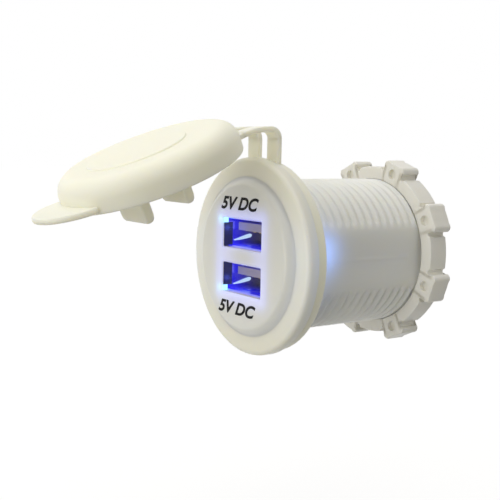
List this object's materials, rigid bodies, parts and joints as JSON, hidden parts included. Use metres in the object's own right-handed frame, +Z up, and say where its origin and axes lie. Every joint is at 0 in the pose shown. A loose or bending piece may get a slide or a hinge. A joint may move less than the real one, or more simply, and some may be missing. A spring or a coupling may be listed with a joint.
{
  "type": "dual usb socket",
  "caption": "Panel-mount USB charging socket: round flange with stacked lit ports, threaded barrel, castellated ring nut and rubber dust cover that opens on straps.",
  "frame": {"origin": "on the barrel's axis, in the plane where the cover's ring bears on the panel", "axes": "+Y along the barrel to the rear, -Y out of the face, +Z up, hinge of the dust cover on top"},
  "size_m": [0.037, 0.0918, 0.0437],
  "materials": {
    "housing_plastic": "satin, slightly translucent",
    "face_plastic": "satin, translucent, lit blue from behind",
    "nut_plastic": "satin",
    "cap_plastic": "matt",
    "rubber": "matt, soft",
    "brass": "tinned, bright",
    "steel": "bright",
    "carrier_plastic": "matt",
    "contact_gilt": "bright",
    "board": "coated board",
    "ferrite": "matt",
    "copper": "enamelled wire",
    "can": "satin sleeve",
    "chip_plastic": "matt",
    "lamp": "clear, lit"
  },
  "bodies": {
    "socket": {"housing": "housing_plastic", "face_plate": "face_plastic", "cover_ring": "rubber", "cover_straps": "rubber", "rear_cap": "cap_plastic", "terminal_positive": "brass", "terminal_negative": "brass", "usb_shell_upper": "steel", "usb_shell_lower": "steel", "contact_carrier_upper": "carrier_plastic", "contact_carrier_lower": "carrier_plastic", "contacts_upper": "contact_gilt", "contacts_lower": "contact_gilt", "led_upper": "lamp", "led_lower": "lamp", "port_board": "board", "power_board": "board", "header_pins": "brass", "inductor_core": "ferrite", "inductor_winding": "copper", "input_capacitor": "can", "output_capacitor": "can", "converter_chip": "chip_plastic", "rectifier_diode": "chip_plastic"},
    "lid": {"cover_lid": "rubber"},
    "nut": {"ring_nut": "nut_plastic"}
  },
  "joints": [
    {"name": "cover_hinge", "type": "hinge", "parent": "socket", "child": "lid", "pos_m": [0, -0.00343, 0.02219], "axis": [1, 0, 0], "range_deg": [-85, 67.2], "stiffness_Nm_per_rad": 0.001, "springref_deg": -31.51, "deforming": ["cover_straps"]},
    {"name": "nut_travel", "type": "slide", "parent": "socket", "child": "nut", "axis": [0, 1, 0], "range_m": [-0.025, 0.0015]}
  ]
}
